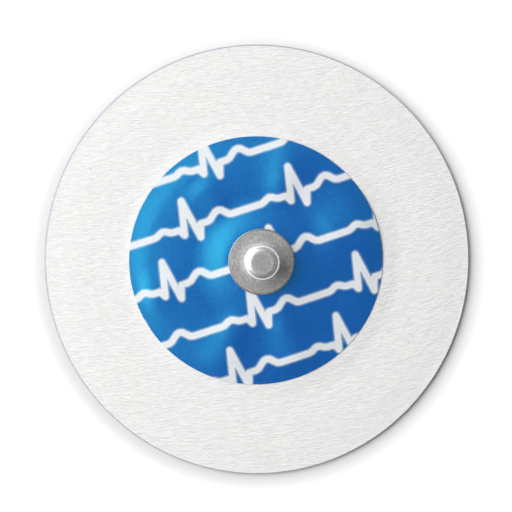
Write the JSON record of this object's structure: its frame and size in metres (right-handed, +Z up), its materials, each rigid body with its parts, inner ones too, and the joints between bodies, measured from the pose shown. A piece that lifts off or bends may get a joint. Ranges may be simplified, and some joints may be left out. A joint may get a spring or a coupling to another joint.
{
  "type": "ecg electrode",
  "caption": "Round nonwoven snap electrode on its release liner: blue label film over a gel pad, and a metal press stud in the middle.",
  "frame": {"origin": "middle of the release liner's underside", "axes": "+Z up out of the stud, +X to the right and +Y to the top of the label as the print reads"},
  "size_m": [0.048, 0.0486, 0.0049],
  "materials": {
    "liner_film": "thin translucent siliconised film, faint violet tint",
    "nonwoven": "matte white creped nonwoven",
    "gel": "clear soft hydrogel, wet sheen",
    "silver_coat": "moulded plastic with a grey silver and silver chloride coat",
    "blue_film": "soft glossy blue film with a white print",
    "satin_steel": "tumbled satin nickel-plated steel"
  },
  "bodies": {
    "root": {"release_liner": "liner_film", "carrier": "nonwoven", "gel_pad": "gel", "sensor_eyelet": "silver_coat", "label_film": "blue_film", "snap_stud": "satin_steel"}
  },
  "joints": []
}
